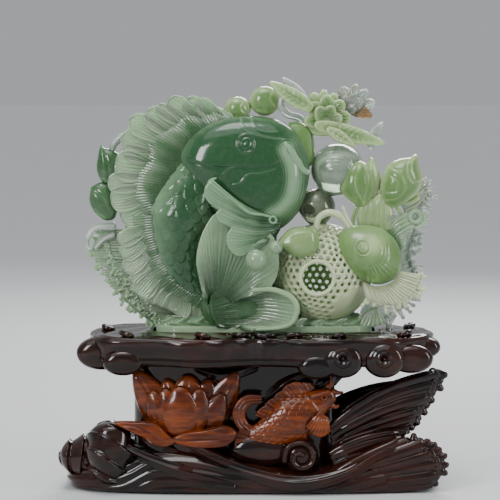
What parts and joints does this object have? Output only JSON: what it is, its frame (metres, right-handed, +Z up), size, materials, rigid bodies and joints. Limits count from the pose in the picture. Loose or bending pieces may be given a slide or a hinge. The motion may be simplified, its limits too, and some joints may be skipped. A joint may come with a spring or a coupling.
{
  "type": "jade figurine on carved wooden stand",
  "caption": "Carved jade carp with fins, flowers, pearls and a pierced ball, resting in a fitted seat on a dark lacquered wooden wave stand with an amber lotus and carp.",
  "frame": {"origin": "on the resting plane, under the middle of the stand", "axes": "+Z up, -Y to the front of the carving, +X to the viewer's right when the front is seen"},
  "size_m": [0.28, 0.112, 0.3055],
  "materials": {
    "jade_deep_green": "polished, translucent deep green",
    "jade_celadon": "polished, translucent celadon",
    "jade_leaf_green": "polished, translucent yellow green",
    "jade_milky": "polished, milky pale green",
    "jade_clear": "polished, nearly clear grey green",
    "ebony_lacquer": "ebonised under gloss lacquer",
    "amber_lacquer": "amber stain under gloss lacquer",
    "bare_dowel_wood": "bare",
    "screw_steel": "plain",
    "felt": "felt"
  },
  "bodies": {
    "stand": {"wave_base": "ebony_lacquer", "core_block": "ebony_lacquer", "left_scroll": "ebony_lacquer", "upper_wave_crest": "ebony_lacquer", "lower_wave_crest": "ebony_lacquer", "trough_curl": "ebony_lacquer", "cloud_slab": "ebony_lacquer", "cloud_lobes": "ebony_lacquer", "lotus_flower": "amber_lacquer", "lotus_leaves": "amber_lacquer", "wood_carp_body": "amber_lacquer", "wood_carp_fins": "amber_lacquer", "slab_dowels": "bare_dowel_wood", "applique_pins": "bare_dowel_wood", "base_screws": "screw_steel", "felt_pads": "felt"},
    "jade": {"jade_foot": "jade_celadon", "lattice_ball": "jade_milky", "carp_head": "jade_deep_green", "carp_trunk": "jade_deep_green", "carp_dorsal_fin": "jade_celadon", "carp_rear_fin": "jade_celadon", "carp_tail_upper": "jade_celadon", "carp_tail_lower": "jade_celadon", "carp_pectoral_fin": "jade_deep_green", "carp_barbel": "jade_deep_green", "carp_lip": "jade_deep_green", "top_pods": "jade_leaf_green", "left_leaves": "jade_celadon", "left_curls": "jade_clear", "centre_pod": "jade_leaf_green", "beads": "jade_milky", "clear_pearl": "jade_clear", "smoky_pearl": "jade_clear", "hook_curl": "jade_milky", "lily_flower": "jade_leaf_green", "clear_flower": "jade_clear", "flower_leaves": "jade_leaf_green", "top_curl": "jade_clear", "goldfish_body": "jade_leaf_green", "left_bud": "jade_leaf_green", "right_bud": "jade_leaf_green", "bud_stalks": "jade_leaf_green", "goldfish_dorsal_fin": "jade_milky", "goldfish_skirt": "jade_milky", "corner_fan": "jade_milky", "right_foam": "jade_clear", "left_foam": "jade_milky"}
  },
  "joints": [
    {"name": "jade_lift", "type": "slide", "parent": "stand", "child": "jade", "axis": [0, 0, 1], "range_m": [0, 0.06]}
  ]
}
